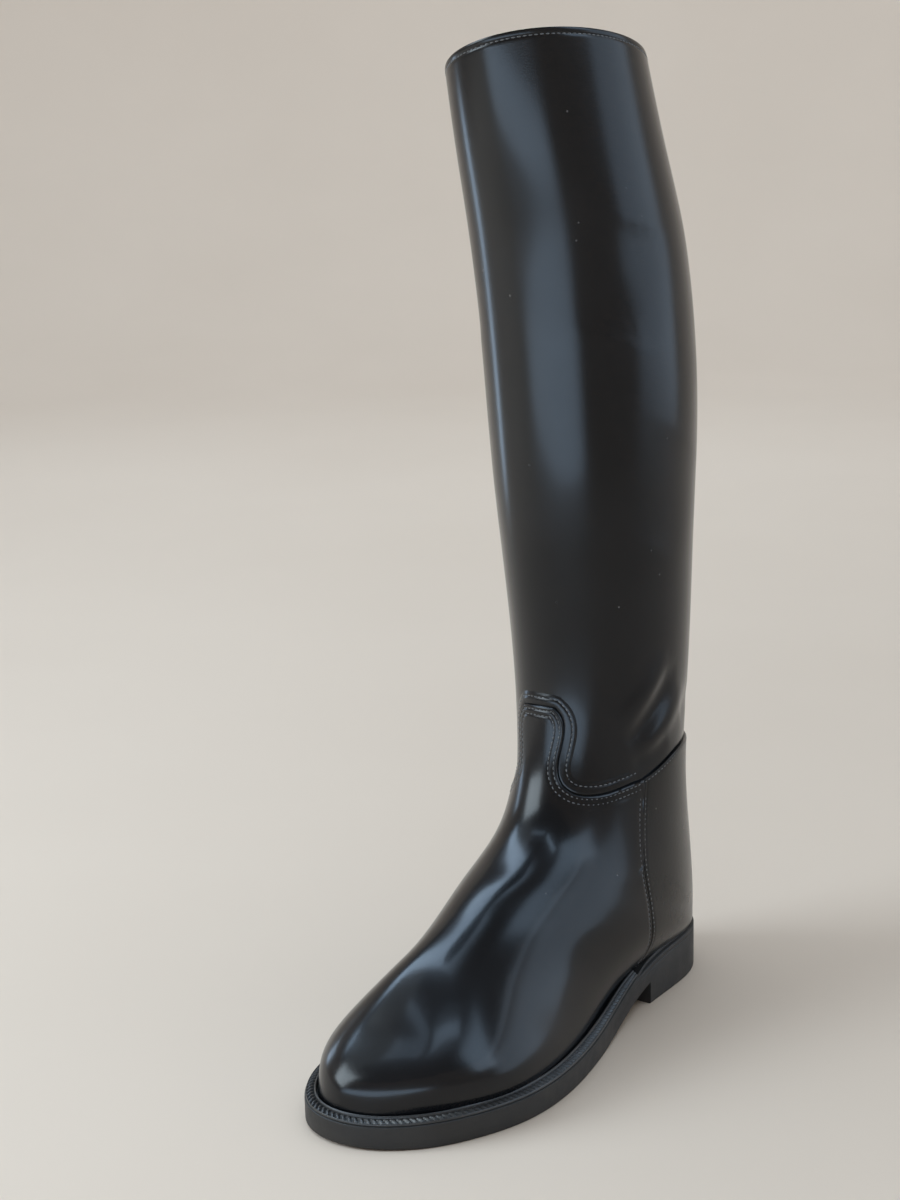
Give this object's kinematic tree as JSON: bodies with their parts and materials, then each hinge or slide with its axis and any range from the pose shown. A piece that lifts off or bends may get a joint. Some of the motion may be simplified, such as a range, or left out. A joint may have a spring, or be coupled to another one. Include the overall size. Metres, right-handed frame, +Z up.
{
  "type": "riding boot",
  "caption": "Tall black leather riding boot, left foot: hollow shaft and foot, scalloped vamp with tab, counter, welt, low-heeled rubber sole.",
  "frame": {"origin": "on the floor, under the centre of the boot's bounding box", "axes": "+Z up along the shaft, -Y towards the toe, +X towards the wearer's outer side of this left boot"},
  "size_m": [0.112, 0.285, 0.489],
  "materials": {
    "black_leather": "glossy smooth box leather, creased at the ankle",
    "vamp_leather": "glossy polished leather",
    "counter_leather": "glossy leather, a little duller than the vamp",
    "sole_rubber": "matte black moulded rubber",
    "welt_rubber": "satin black strip with slanted ticks",
    "lining_leather": "matte tan lining leather"
  },
  "bodies": {
    "root": {"upper": "black_leather", "vamp": "vamp_leather", "counter": "counter_leather", "outsole": "sole_rubber", "welt": "welt_rubber", "insole": "lining_leather"}
  },
  "joints": []
}
